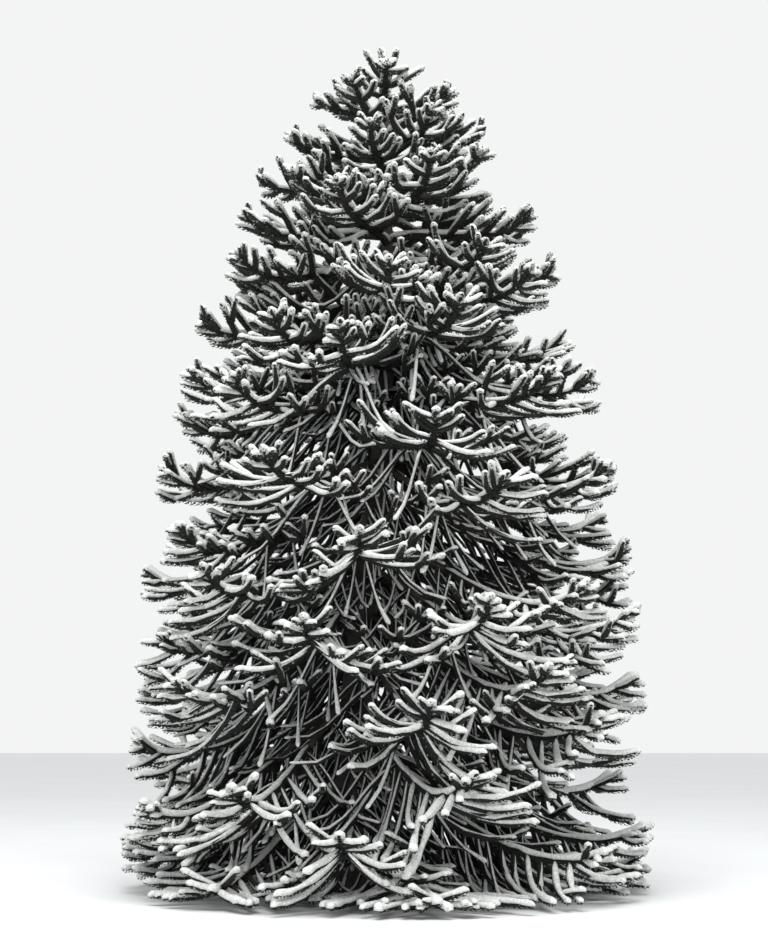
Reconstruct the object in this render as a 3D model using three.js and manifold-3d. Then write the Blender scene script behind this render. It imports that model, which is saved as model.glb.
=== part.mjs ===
// A young monkey puzzle tree (Araucaria araucana), clothed with boughs from its tip down to the ground.
// Millimetres, +Z up. The origin is the middle of the flat cut under the trunk, at ground level.
// The front of the tree faces -Y, and +X is on the right as seen from there.
import * as THREE from "three";
import Module from "manifold-3d";

const wasm = await Module();
wasm.setup();

// Outline of the crown: its reach at a height is CROWN_REACH * (1 - share ** CROWN_TAPER) ** CROWN_ROUND.
const CROWN_HEIGHT = 9650;
const CROWN_REACH = 2900;
const CROWN_TAPER = 2.6;
const CROWN_ROUND = 0.72;
const GROUND_CLEARANCE = 93; // lowest that the middle of a shoot may lie, so that its leaves clear the ground
const FIT_GAP = 0.3; // between two solids that meet

// Trunk: its taper, the lean that carries the crown to the right of the foot, and its root flare.
const TRUNK_TOP = 8900;
const TRUNK_FOOT_RADIUS = 215;
const TRUNK_TIP_RADIUS = 40;
const TRUNK_TAPER = 1.3;
const LEAN_REACH = 450;
const LEAN_HEIGHT = 6500;
const FLARE_WIDTH = 95;
const FLARE_HEIGHT = 170;
const ROOT_RIDGES = 5;
const RIDGE_SHARE = 0.16;
const TRUNK_SIDES = 12;
const TRUNK_RINGS = 10;

// Whorls of boughs, counted down from the leader's own arms, which are whorl 0. The boughs are counted in
// the same order, and each third one is built, so that those stand evenly round the trunk and up it.
const WHORLS = 21;
const TOP_WHORL_HEIGHT = 9040;
const WHORL_STEP = 270;
const WHORL_STEP_GROWTH = 5;
const BOUGHS_IN_WHORL = 5;
const BOUGHS_IN_LOW_WHORL = 6;
const LOW_WHORL = 13; // the first that has one bough more
const BOUGH_STEP = 3;
const BOUGH_DROP = 26; // each bough of a whorl leaves the trunk a little below the one before it
const BOUGH_TURN = 137.5; // degrees round the trunk from one bough to the next
const TURN_SCATTER = 6;
const BARE_WHORL = 12; // from here down the boughs are old, and bare as far as BARE_SHARE of their length
const BARE_SHARE = 0.36;

// A bough leaves the trunk at one angle, hangs or rises to its tip, and turns up there.
const LEAVE_ANGLE = { foot: -30, gain: 54, power: 1.3 };
const TIP_ANGLE = { foot: 34, gain: 34 };
const TIP_RISE = { foot: -1000, gain: 1580, power: 1.3 };
const TIP_RISE_SCATTER = 200;
const LOWEST_TIP = 140;
const REACH_SHARE = 0.96;
const REACH_SCATTER = 0.04;
const LEAVE_STRIDE = 0.36; // share of its length over which a bough keeps the angle that it leaves at
const TIP_STRIDE = 0.34; // and over which it turns up
const BEND_SCATTER = 16; // degrees that a bough bends sideways from its straight course
const ROLL_SCATTER = 15; // and leans to one side, so that its shoots hang lower there
const BOUGH_RADIUS = { foot: 42, tip: 30 };
const BOUGH_SIDES = 5;
const BOUGH_RINGS = 2;

// A shoot is a rope of pointed scale leaves. The leaves stand out of its core in three-pointed cups.
const CORE_RADIUS = 40;
const LEAF_RADIUS = 92;
const CUP_PITCH = 530;
const CUP_OPENING = 0.76; // share of a cup's length at which its leaves stand out furthest
const SHOOT_SIDES = 3;
const TIP_TAPER = 0.66; // size of the last cup against the first
const ROOT_RADIUS = 12; // where a shoot starts, sunk in the middle of what carries it

// Side shoots stand in pairs, counted from a bough's tip, and each second pair is built. The further from the
// tip a pair stands, the longer it is and the deeper it hangs, most of all on the low boughs.
const FIRST_PAIR = 120; // from the tip
const PAIR_STEP = { foot: 150, gain: 50 };
const BUILT_PAIR_STEP = 2;
const LEAFY_LENGTH = { foot: 1.3, gain: -0.68 }; // share of a young bough's length that carries pairs
const SIDE_LENGTH = { foot: 1500, gain: -1000 };
const LEAST_SIDE = 320;
const SIDE_GROWTH = 500; // distance from the tip over which side shoots grow long
const SAG_GROWTH = { foot: 300, gain: 600 }; // and over which they come to hang
const TIP_SAG = -10;
const FULL_SAG = { foot: 76, gain: -78, power: 0.9 };
const TIP_LIFT = { foot: 14, gain: 34 };
const FULL_LIFT = { foot: -8, gain: 58 };
const SIDE_SPREAD = [62, 64]; // degrees from the bough's heading, at its tip and far from it
const MIDDLE_SAG = 0.64; // shares of the sag and of the lift in a side shoot's middle stride
const MIDDLE_LIFT = 0.2;
const SAG_TURN = 12; // the built pairs hang so much lower than the rule for all
const SPREAD_TURN = 8; // and spread so much further
const SIDE_TURN = 14; // in each stride a side shoot turns so much towards the bough's tip
const SIDE_STRIDES = [0.36, 0.34, 0.36];
const SLOPE_SCATTER = 12;
const LENGTH_SCATTER = 0.2;
const FINGERS_AT = 0.9;
const FINGER_LENGTH = 360;
const FINGER_SPREAD = 50;
const FINGER_SLOPES = [24, 44, 62];
const FINGER_LIFT = { foot: 0.35, gain: 0.75 };
const FIT_SHARE = 0.97; // of the crown's reach, within which a side shoot ends
const FIT_TRIES = 7; // a shoot is shortened up to so many times to end there
const FIT_SHORTENING = 0.88;
const SHOOT_CLEARANCE = 14; // least air between the leaves of two sprays
const SAMPLE_STEP = 50;

// The tuft at the top: the leader and the youngest whorl of arms.
const LEADER_TIP = { x: -70, z: 9540 };
const LEADER_ARMS = 5;
const LEADER_ARMS_AT = [0.24, 0.32]; // shares of the leader's length, first arm and last
const LEADER_ARM_LENGTH = 640;
const LEADER_ARM_SLOPES = [30, 38, 52];

const UP = new THREE.Vector3(0, 0, 1);
const { degToRad: radians, lerp } = THREE.MathUtils;

const barkMaterial = new THREE.MeshStandardMaterial({ color: 0x4b423b, roughness: 0.95, metalness: 0 });
const boughMaterial = new THREE.MeshStandardMaterial({ color: 0x3d3a31, roughness: 0.9, metalness: 0 });
const leafMaterial = new THREE.MeshStandardMaterial({ color: 0x27331f, roughness: 0.7, metalness: 0 });

// The same number from -1 to 1 each time for two whole numbers.
function scatter(a, b) {
  const wave = Math.sin(a * 12.9898 + b * 78.233) * 43758.5453;
  return 2 * (wave - Math.floor(wave)) - 1;
}

// A value that grows with the share of the crown's height.
function byHeight({ foot, gain, power = 1 }, share) {
  return foot + gain * share ** power;
}

function heading(azimuth, elevation) {
  const level = Math.cos(elevation);
  return new THREE.Vector3(level * Math.cos(azimuth), level * Math.sin(azimuth), Math.sin(elevation));
}

function crownReach(height) {
  const share = THREE.MathUtils.clamp(height / CROWN_HEIGHT, 0, 0.995);
  return CROWN_REACH * (1 - share ** CROWN_TAPER) ** CROWN_ROUND;
}

function isWellInCrown({ x, y, z }) {
  return Math.hypot(x - LEAN_REACH, y) < FIT_SHARE * crownReach(z);
}

// Keeps a point above the ground, below the leader's tip and inside the crown's outline.
function keepInCrown(point) {
  point.z = THREE.MathUtils.clamp(point.z, GROUND_CLEARANCE, LEADER_TIP.z - LEAF_RADIUS);
  const out = new THREE.Vector2(point.x - LEAN_REACH, point.y);
  out.clampLength(0, crownReach(point.z));
  return point.set(LEAN_REACH + out.x, out.y, point.z);
}

function trunkAxis(height) {
  return new THREE.Vector3(LEAN_REACH * THREE.MathUtils.smoothstep(height, 0, LEAN_HEIGHT), 0, height);
}

function trunkRadius(height, angle) {
  const taper = (1 - height / TRUNK_TOP) ** TRUNK_TAPER;
  const flare = Math.exp(-height / FLARE_HEIGHT);
  const ridge = 1 + RIDGE_SHARE * flare * Math.cos(ROOT_RIDGES * angle);
  return (TRUNK_TIP_RADIUS + (TRUNK_FOOT_RADIUS - TRUNK_TIP_RADIUS) * taper + FLARE_WIDTH * flare) * ridge;
}

// A closed solid through rings that have the same number of points, ending in a face or, if given, a point.
function loft(rings, point) {
  const sides = rings[0].length;
  const last = (rings.length - 1) * sides;
  const corners = rings.flat();
  const faces = [];
  for (let first = 0; first < last; first += sides)
    for (let side = 0; side < sides; side++) {
      const a = first + side;
      const b = first + ((side + 1) % sides);
      faces.push(a, b, a + sides, b, b + sides, a + sides);
    }
  for (let side = 1; side + 1 < sides; side++) {
    faces.push(0, side + 1, side);
    if (!point) faces.push(last, last + side, last + side + 1);
  }
  if (point) {
    for (let side = 0; side < sides; side++)
      faces.push(last + side, last + ((side + 1) % sides), corners.length);
    corners.push(point);
  }
  return new wasm.Manifold(
    new wasm.Mesh({
      numProp: 3,
      vertProperties: new Float32Array(corners.flatMap((corner) => corner.toArray())),
      triVerts: new Uint32Array(faces),
    }),
  );
}

// Rings across a curve, each { share, radius, turn }, carried along it without twisting.
function ringsAlong(curve, stations, sides) {
  let across = curve.getTangent(stations[0].share).cross(UP).normalize();
  return stations.map(({ share, radius, turn = 0 }) => {
    const along = curve.getTangent(share);
    across = across.clone().projectOnPlane(along).normalize();
    const over = along.clone().cross(across);
    const middle = curve.getPoint(share);
    return Array.from({ length: sides }, (_, side) => {
      const angle = turn + (side * 2 * Math.PI) / sides;
      return middle
        .clone()
        .addScaledVector(across, radius * Math.cos(angle))
        .addScaledVector(over, radius * Math.sin(angle));
    });
  });
}

function trunkSolid(extra) {
  const rings = Array.from({ length: TRUNK_RINGS + 1 }, (_, ring) => {
    const height = TRUNK_TOP * (ring / TRUNK_RINGS) ** 2;
    return Array.from({ length: TRUNK_SIDES }, (_, side) => {
      const angle = (side * 2 * Math.PI) / TRUNK_SIDES;
      const radius = trunkRadius(height, angle) + extra;
      return trunkAxis(height).addScaledVector(heading(angle, 0), radius);
    });
  });
  return loft(rings);
}

function whorlHeight(whorl) {
  return TOP_WHORL_HEIGHT - WHORL_STEP * whorl - WHORL_STEP_GROWTH * whorl * whorl;
}

// The middle line of a bough, from the trunk's own middle line to its tip on the crown's outline.
function boughCurve(whorl, index, counted) {
  const height = whorlHeight(whorl) - BOUGH_DROP * index;
  const share = height / CROWN_HEIGHT;
  const turn = counted * BOUGH_TURN + TURN_SCATTER * scatter(whorl, index);
  const rise = byHeight(TIP_RISE, share) + TIP_RISE_SCATTER * scatter(index, whorl + 40);
  const tipHeight = Math.max(height + rise, LOWEST_TIP);
  const reach = crownReach(tipHeight) * (REACH_SHARE + REACH_SCATTER * scatter(whorl + 80, index));
  const tip = heading(radians(turn), 0).multiplyScalar(reach);
  tip.add(new THREE.Vector3(LEAN_REACH, 0, tipHeight));
  const start = trunkAxis(height);
  const azimuth = Math.atan2(tip.y - start.y, tip.x - start.x);
  const stride = start.distanceTo(tip);
  const bend = radians(BEND_SCATTER) * scatter(index + 60, whorl);
  const leave = heading(azimuth - bend, radians(byHeight(LEAVE_ANGLE, share)));
  const arrive = heading(azimuth + bend, radians(byHeight(TIP_ANGLE, share)));
  return new THREE.CubicBezierCurve3(
    start,
    keepInCrown(start.clone().addScaledVector(leave, LEAVE_STRIDE * stride)),
    keepInCrown(tip.clone().addScaledVector(arrive, -TIP_STRIDE * stride)),
    tip,
  );
}

// The middle line of a shoot, in three strides that each turn and slope anew.
function shootCurve(start, azimuth, fullLength, slopes, turn = 0) {
  let points;
  let length = fullLength;
  for (let tries = 0; tries < FIT_TRIES; tries++) {
    points = [start];
    SIDE_STRIDES.forEach((stride, step) => {
      const towards = heading(azimuth + turn * step, radians(slopes[step]));
      points.push(points.at(-1).clone().addScaledVector(towards, stride * length));
    });
    if (isWellInCrown(points.at(-1))) break;
    length *= FIT_SHORTENING;
  }
  return new THREE.CubicBezierCurve3(start, ...points.slice(1).map(keepInCrown));
}

// A rope of leaf cups along a curve, from one share of it to its end. Its first ring is as wide as its root.
function shootSolid(curve, from = 0, root = ROOT_RADIUS) {
  const cups = Math.max(1, Math.round(((1 - from) * curve.getLength()) / CUP_PITCH));
  const stations = [];
  for (let cup = 0; cup < cups; cup++) {
    const size = lerp(1, TIP_TAPER, cup / cups);
    const turn = (cup * Math.PI) / SHOOT_SIDES;
    const at = (step) => from + ((1 - from) * (cup + step)) / cups;
    stations.push({ share: at(0), radius: cup ? CORE_RADIUS * size : root, turn });
    stations.push({ share: at(CUP_OPENING), radius: LEAF_RADIUS * size, turn });
  }
  return loft(ringsAlong(curve, stations, SHOOT_SIDES), curve.getPoint(1));
}

// What has been built so far, as a string of balls along each limb, so that sprays keep clear of one another.
const balls = [];

function ballsAlong(curve, from, to, radius) {
  const count = Math.ceil(((to - from) * curve.getLength()) / SAMPLE_STEP);
  return Array.from({ length: count + 1 }, (_, step) => {
    const centre = curve.getPoint(from + ((to - from) * step) / count);
    return { centre, radius };
  });
}

function claim(owner, found) {
  for (const ball of found) balls.push({ ...ball, owner });
}

function isClear(owner, found) {
  return found.every((ball) =>
    balls.every((other) => {
      if (other.owner === owner) return true;
      const apart = ball.radius + other.radius + SHOOT_CLEARANCE;
      return ball.centre.distanceToSquared(other.centre) > apart * apart;
    }),
  );
}

function azimuthAt(curve, at) {
  const ahead = curve.getTangent(at);
  return Math.atan2(ahead.y, ahead.x);
}

// Pairs of side shoots along one stem, from its tip inwards.
function sideShoots({ curve, from, bare, share, counted }) {
  const shoots = [];
  const stemLength = curve.getLength();
  const leafyLength = stemLength * (bare ? 1 : byHeight(LEAFY_LENGTH, share));
  const roll = ROLL_SCATTER * scatter(counted, 70);
  for (let pair = 0; ; pair += BUILT_PAIR_STEP) {
    const toTip = FIRST_PAIR + pair * byHeight(PAIR_STEP, share);
    const at = curve.getUtoTmapping(Math.max(0, 1 - toTip / stemLength));
    if (toTip >= leafyLength || at <= from) return shoots;
    const grown = 1 - Math.exp(-toTip / SIDE_GROWTH);
    const sunk = 1 - Math.exp(-toTip / byHeight(SAG_GROWTH, share));
    const sag = lerp(TIP_SAG, byHeight(FULL_SAG, share), sunk) + SAG_TURN * sunk;
    const lift = lerp(byHeight(TIP_LIFT, share), byHeight(FULL_LIFT, share), sunk);
    const spread = lerp(...SIDE_SPREAD, sunk) + SPREAD_TURN * sunk;
    for (const side of [-1, 1]) {
      const vary = scatter(counted + 200, 2 * pair + side);
      const sloped = SLOPE_SCATTER * scatter(2 * pair + side, counted + 900) + side * roll;
      const length = Math.max(byHeight(SIDE_LENGTH, share) * grown, LEAST_SIDE) * (1 + LENGTH_SCATTER * vary);
      const middle = MIDDLE_LIFT * lift - MIDDLE_SAG * sag;
      const slopes = [-sag, middle, lift].map((slope) => slope + sloped);
      const azimuth = azimuthAt(curve, at) + side * radians(spread + SLOPE_SCATTER * vary);
      shoots.push(shootCurve(curve.getPoint(at), azimuth, length, slopes, -side * radians(SIDE_TURN)));
    }
  }
}

// Two fingers beside a stem's tip.
function fingers({ curve, share, counted }) {
  return [-1, 1].map((side) => {
    const vary = scatter(counted, side + 7);
    const lift = byHeight(FINGER_LIFT, share);
    const slopes = FINGER_SLOPES.map((slope) => slope * lift + SLOPE_SCATTER * vary);
    const azimuth = azimuthAt(curve, FINGERS_AT) + side * radians(FINGER_SPREAD);
    const length = FINGER_LENGTH * (1 + LENGTH_SCATTER * vary);
    return shootCurve(curve.getPoint(FINGERS_AT), azimuth, length, slopes);
  });
}

// One mass of foliage: a stem in leaf, with each side shoot that keeps clear of the other masses and limbs.
function spraySolid(plan) {
  const name = `spray_${plan.number}`;
  let solid = shootSolid(plan.curve, plan.from, plan.bare ? BOUGH_RADIUS.tip : ROOT_RADIUS);
  for (const shoot of [...fingers(plan), ...sideShoots(plan)]) {
    const found = ballsAlong(shoot, 0, 1, LEAF_RADIUS);
    if (!isClear(name, found)) continue;
    claim(name, found);
    solid = solid.add(shootSolid(shoot));
  }
  return solid;
}

// One bare bough, from inside the trunk to where its mass of foliage starts.
function boughSolid({ curve, from }) {
  const stations = Array.from({ length: BOUGH_RINGS + 1 }, (_, ring) => {
    const along = ring / BOUGH_RINGS;
    return { share: along * from, radius: lerp(BOUGH_RADIUS.foot, BOUGH_RADIUS.tip, along) };
  });
  return loft(ringsAlong(curve, stations, BOUGH_SIDES));
}

// The tuft at the top: the leader goes on above the trunk, with the youngest whorl of arms around it.
function leaderTuft(name) {
  const foot = trunkAxis(TRUNK_TOP + FIT_GAP);
  const tip = trunkAxis(LEADER_TIP.z).add(new THREE.Vector3(LEADER_TIP.x, 0, 0));
  const upright = foot.clone().setZ(lerp(foot.z, tip.z, 0.4));
  const leader = new THREE.CubicBezierCurve3(foot, upright, foot.clone().lerp(tip, 0.7), tip);
  let solid = shootSolid(leader, 0, TRUNK_TIP_RADIUS);
  claim(name, ballsAlong(leader, 0, 1, LEAF_RADIUS));
  for (let arm = 0; arm < LEADER_ARMS; arm++) {
    const round = arm / LEADER_ARMS;
    const vary = scatter(arm, 5);
    const slopes = LEADER_ARM_SLOPES.map((slope) => slope + SLOPE_SCATTER * vary);
    const start = leader.getPoint(lerp(...LEADER_ARMS_AT, round));
    const length = LEADER_ARM_LENGTH * (1 + LENGTH_SCATTER * vary);
    const shoot = shootCurve(start, 2 * Math.PI * round, length, slopes);
    claim(name, ballsAlong(shoot, 0, 1, LEAF_RADIUS));
    solid = solid.add(shootSolid(shoot));
  }
  return solid;
}

// The outer body of a joined solid. A hollow that joining sealed is its own inside-out part, and is left out.
function outerBody(solid) {
  return solid.decompose().reduce((largest, part) => (part.volume() > largest.volume() ? part : largest));
}

function asMesh(name, solid, material) {
  const { vertProperties, triVerts } = outerBody(solid).getMesh();
  const geometry = new THREE.BufferGeometry();
  geometry.setAttribute("position", new THREE.BufferAttribute(vertProperties, 3));
  geometry.setIndex(new THREE.BufferAttribute(triVerts, 1));
  geometry.computeVertexNormals();
  const mesh = new THREE.Mesh(geometry, material);
  mesh.name = name;
  return mesh;
}

// Plans of the boughs that are built. Their limbs are claimed first, so that side shoots give way to them.
const plans = [];
let counted = 0;
for (let whorl = 1; whorl <= WHORLS; whorl++) {
  const boughs = whorl < LOW_WHORL ? BOUGHS_IN_WHORL : BOUGHS_IN_LOW_WHORL;
  const share = whorlHeight(whorl) / CROWN_HEIGHT;
  const bare = whorl >= BARE_WHORL;
  for (let index = 0; index < boughs; index++, counted++) {
    if (counted % BOUGH_STEP) continue;
    const curve = boughCurve(whorl, index, counted);
    plans.push({ number: plans.length + 1, counted, curve, bare, from: bare ? BARE_SHARE : 0, share });
  }
}
for (let height = 0; height < TRUNK_TOP; height += SAMPLE_STEP)
  claim("trunk", [{ centre: trunkAxis(height), radius: trunkRadius(height, 0) }]);
for (const { number, curve, bare, from } of plans) {
  if (bare) claim(`bough_${number}`, ballsAlong(curve, 0, from, BOUGH_RADIUS.foot));
  claim(`spray_${number}`, ballsAlong(curve, from, 1, LEAF_RADIUS));
}

const tree = new THREE.Group();
const trunkClearance = trunkSolid(FIT_GAP);
tree.add(asMesh("trunk", trunkSolid(0), barkMaterial));
tree.add(asMesh("leader_tuft", leaderTuft("leader_tuft"), leafMaterial));
for (const plan of plans) {
  if (plan.bare) {
    tree.add(asMesh(`bough_${plan.number}`, boughSolid(plan).subtract(trunkClearance), boughMaterial));
    plan.from += FIT_GAP / plan.curve.getLength();
  }
  const spray = spraySolid(plan);
  tree.add(asMesh(`spray_${plan.number}`, plan.bare ? spray : spray.subtract(trunkClearance), leafMaterial));
}

export default tree;
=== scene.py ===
# %% [markdown]
# # A young monkey puzzle tree under snow
#
# The tree is a trunk with whorls of boughs. Each bough carries pairs of side shoots, and each shoot is a
# rope of stiff, pointed scale leaves with snow lying on its upper side. A tree could be modelled by hand,
# bough by bough, but here everything grows from one rule: a changed value moves thousands of shoots at once.
# The same rule shaped the solid model, so the fine tree stays inside the solid one's reach.

import math
from collections import namedtuple

import bpy
import numpy as np
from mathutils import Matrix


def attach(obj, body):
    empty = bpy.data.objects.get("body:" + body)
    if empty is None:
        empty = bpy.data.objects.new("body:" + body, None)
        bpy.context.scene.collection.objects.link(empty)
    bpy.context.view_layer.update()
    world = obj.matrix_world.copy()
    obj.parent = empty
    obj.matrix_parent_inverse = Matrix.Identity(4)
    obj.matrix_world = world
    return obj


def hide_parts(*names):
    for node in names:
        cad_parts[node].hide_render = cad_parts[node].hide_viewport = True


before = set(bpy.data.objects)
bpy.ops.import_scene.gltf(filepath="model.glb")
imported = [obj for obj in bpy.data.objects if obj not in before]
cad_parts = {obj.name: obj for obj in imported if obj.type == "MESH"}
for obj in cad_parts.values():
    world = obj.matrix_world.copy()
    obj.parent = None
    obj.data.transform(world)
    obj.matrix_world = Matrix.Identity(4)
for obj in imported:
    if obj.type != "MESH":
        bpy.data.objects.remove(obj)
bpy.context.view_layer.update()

# %% [markdown]
# ## The camera
#
# The camera stands 17 m in front of the trunk at eye height, tilted a little upwards. Blender asks for a
# focal length in millimetres of the sensor. One in pixels is easier to fit to a picture, so it is kept in
# pixels and worked out from there.

# %% Set up the camera
PICTURE_HEIGHT = 952  # pixels
FOCAL_LENGTH = 1547  # pixels
SENSOR = 36.0  # millimetres, along the picture's height
EYE = (0.41, -17.0, 1.6)
TILT = 9.61  # degrees above level

lens = bpy.data.cameras.new("eye_level_camera")
lens.sensor_width = SENSOR
lens.lens = FOCAL_LENGTH / PICTURE_HEIGHT * SENSOR
camera = bpy.data.objects.new("eye_level_camera", lens)
camera.location = EYE
camera.rotation_euler = (math.radians(90 + TILT), 0, 0)
bpy.context.collection.objects.link(camera)
bpy.context.scene.camera = camera
print(f"camera: {lens.lens:.1f} mm lens, {-EYE[1]:.0f} m in front of the trunk")

# %% [markdown]
# ## How the crown is shaped
#
# A crown is easiest to keep in hand when its outline is one formula. The reach at a height is the furthest
# that any shoot may stand from the crown's middle, and `keep_in_crown` pulls a point back to it. The same
# function holds shoots off the ground and below the leader's tip. All lengths are in metres.

# %% Crown outline
CROWN_HEIGHT = 9.65
CROWN_REACH = 2.9
CROWN_TAPER = 2.6
CROWN_ROUND = 0.72
TOP_SHARE = 0.995  # of the crown's height, above which its reach no longer shrinks
GROUND_CLEARANCE = 0.093  # lowest that the middle of a shoot may lie
LEADER_TIP = (-0.07, 9.54)  # how far to the right of the trunk's axis, and the height
SOLID_LEAF_RADIUS = 0.092
LEAN_REACH = 0.45  # how far the trunk leans to the right
LEAN_HEIGHT = 6.5  # the height at which it stands upright again


def crown_reach(height):
    share = np.clip(height / CROWN_HEIGHT, 0, TOP_SHARE)
    return CROWN_REACH * (1 - share ** CROWN_TAPER) ** CROWN_ROUND


def keep_in_crown(point):
    """Keeps a point above the ground, below the leader's tip and inside the crown's outline."""
    height = min(max(point[2], GROUND_CLEARANCE), LEADER_TIP[1] - SOLID_LEAF_RADIUS)
    out = np.array([point[0] - LEAN_REACH, point[1]])
    out *= min(1, crown_reach(height) / max(np.hypot(*out), 1e-6))
    return np.array([LEAN_REACH + out[0], out[1], height])


def trunk_axis(height):
    share = np.clip(height / LEAN_HEIGHT, 0, 1)
    return np.array([LEAN_REACH * share * share * (3 - 2 * share), 0, height])


print(f"crown: {crown_reach(2.0) * 2:.2f} m across at 2 m, {crown_reach(8.0) * 2:.2f} m at 8 m")

# %% [markdown]
# ## Even scatter
#
# No two boughs of a tree are alike. The scatter between them comes from a formula of two whole numbers and
# not from a random generator, so a limb keeps its place however many others are made before it. A number
# that is added to one of the two, such as 200, only picks another scatter. What changes up the tree has a
# rule of three numbers, read by `by_height`.

# %% Scatter and rules of height


def scatter(a, b):
    """The same number from -1 to 1 each time for two whole numbers."""
    wave = math.sin(a * 12.9898 + b * 78.233) * 43758.5453
    return 2 * (wave - math.floor(wave)) - 1


def by_height(rule, share):
    """A value at a share of the crown's height: what it is at the foot, plus a gain times a power."""
    foot, gain, power = rule
    return foot + gain * share ** power


def lerp(a, b, share):
    """The value at a share of the way from one to another."""
    return a + (b - a) * share


print("scatter of 1 with 1 to 5:", [round(scatter(1, b), 2) for b in range(1, 6)])

# %% [markdown]
# ## Curves
#
# Every limb is a cubic Bezier curve: four points, where the middle two set the angles at which it leaves
# and arrives. Blender has curve objects too, but points and directions are needed at thousands of places
# along each limb, and the formula gives them all at once.

# %% Curves
CURVE_SAMPLES = 33  # places at which a curve's length is measured


def towards(azimuth, slope):
    """A direction from two angles in degrees."""
    a, s = math.radians(azimuth), math.radians(slope)
    return np.array([math.cos(s) * math.cos(a), math.cos(s) * math.sin(a), math.sin(s)])


def along(curve, share):
    """The points of a curve at shares from 0 to 1."""
    t = np.atleast_1d(share)[:, None]
    a, b, c, d = curve
    return (1 - t) ** 3 * a + 3 * (1 - t) ** 2 * t * b + 3 * (1 - t) * t * t * c + t ** 3 * d


def ahead_of(curve, share):
    """The directions in which a curve runs at shares from 0 to 1."""
    t = np.atleast_1d(share)[:, None]
    a, b, c, d = curve
    ahead = (1 - t) ** 2 * (b - a) + 2 * (1 - t) * t * (c - b) + t * t * (d - c)
    return ahead / np.linalg.norm(ahead, axis=1, keepdims=True)


def azimuth_at(curve, share):
    x, y, _ = ahead_of(curve, share)[0]
    return math.degrees(math.atan2(y, x))


def paces(curve, first=0.0):
    """Shares along a curve from one of them to its end, and how far one has walked at each."""
    shares = np.linspace(first, 1, CURVE_SAMPLES)
    steps = np.linalg.norm(np.diff(along(curve, shares), axis=0), axis=1)
    return shares, np.concatenate(([0], np.cumsum(steps)))


arch = np.array([(0, 0, 0), (0, 0, 1), (1, 0, 1), (1, 0, 0)])
print(f"an arch 1 m wide and {along(arch, 0.5)[0][2]:.2f} m high is {paces(arch)[1][-1]:.2f} m long")

# %% [markdown]
# ## Whorls of boughs
#
# A monkey puzzle adds one ring of boughs, a whorl, each year. Young boughs rise, old ones hang under their
# own weight, and all of them turn up at the tip. So the height of its whorl is enough to give a bough its
# curve: where it leaves the trunk, its slopes at both ends, and a tip on the crown's outline.

# %% Curve of a bough
TOP_WHORL_HEIGHT = 9.04
WHORL_STEP = 0.27
WHORL_STEP_GROWTH = 0.005
BOUGH_DROP = 0.026  # each bough of a whorl leaves the trunk a little below the one before it
BOUGH_TURN = 137.5  # degrees round the trunk from one bough to the next
TURN_SCATTER = 6
TIP_RISE = (-1.0, 1.58, 1.3)  # metres from a bough's foot up to its tip, as a rule for by_height
TIP_RISE_SCATTER = 0.2
LOWEST_TIP = 0.14
REACH_SHARE = 0.96  # of the crown's reach, for a bough's tip
REACH_SCATTER = 0.04
LEAVE_ANGLE = (-30, 54, 1.3)  # degrees of slope at the trunk
TIP_ANGLE = (34, 34, 1)
LEAVE_STRIDE = 0.36  # share of its length over which a bough keeps the angle that it leaves at
TIP_STRIDE = 0.34  # and over which it turns up
BEND_SCATTER = 16  # degrees that a bough bends sideways from its straight course


def whorl_height(whorl):
    return TOP_WHORL_HEIGHT - WHORL_STEP * whorl - WHORL_STEP_GROWTH * whorl * whorl


def bough_curve(whorl, index, counted):
    height = whorl_height(whorl) - BOUGH_DROP * index
    share = height / CROWN_HEIGHT
    turn = counted * BOUGH_TURN + TURN_SCATTER * scatter(whorl, index)
    rise = by_height(TIP_RISE, share) + TIP_RISE_SCATTER * scatter(index, whorl + 40)
    tip_height = max(height + rise, LOWEST_TIP)
    reach = crown_reach(tip_height) * (REACH_SHARE + REACH_SCATTER * scatter(whorl + 80, index))
    tip = towards(turn, 0) * reach + (LEAN_REACH, 0, tip_height)
    start = trunk_axis(height)
    azimuth = math.degrees(math.atan2(tip[1] - start[1], tip[0] - start[0]))
    stride = np.linalg.norm(tip - start)
    bend = BEND_SCATTER * scatter(index + 60, whorl)
    leave = towards(azimuth - bend, by_height(LEAVE_ANGLE, share))
    arrive = towards(azimuth + bend, by_height(TIP_ANGLE, share))
    return np.array([
        start,
        keep_in_crown(start + leave * LEAVE_STRIDE * stride),
        keep_in_crown(tip - arrive * TIP_STRIDE * stride),
        tip,
    ])


for whorl in (1, 20):
    rise = np.diff(bough_curve(whorl, 0, 0)[[0, 3], 2])[0]
    print(f"whorl {whorl}: {whorl_height(whorl):.2f} m up the trunk, tip {rise:+.2f} m from there")

# %% [markdown]
# ## All the boughs
#
# The boughs are counted from the top down, five or six to a whorl. The solid tree holds every third of
# them, so each of those has a number, the one in the name of its solid. Here all of them are grown.

# %% List the boughs
WHORLS = 21
BOUGHS_IN_WHORL = 5
BOUGHS_IN_LOW_WHORL = 6
LOW_WHORL = 13  # the first that has one bough more
BOUGH_STEP = 3
BARE_WHORL = 12  # from here down the boughs are old, and bare as far as BARE_SHARE of their length
BARE_SHARE = 0.36

Bough = namedtuple("Bough", "curve whorl counted share bare number")

boughs = []
for whorl in range(1, WHORLS + 1):
    in_whorl = BOUGHS_IN_WHORL if whorl < LOW_WHORL else BOUGHS_IN_LOW_WHORL
    for index in range(in_whorl):
        counted = len(boughs)
        number = counted // BOUGH_STEP + 1 if counted % BOUGH_STEP == 0 else None
        curve = bough_curve(whorl, index, counted)
        share = whorl_height(whorl) / CROWN_HEIGHT
        boughs.append(Bough(curve, whorl, counted, share, whorl >= BARE_WHORL, number))
print(f"{len(boughs)} boughs, {sum(bough.number is not None for bough in boughs)} of them in the solid tree")

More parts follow.
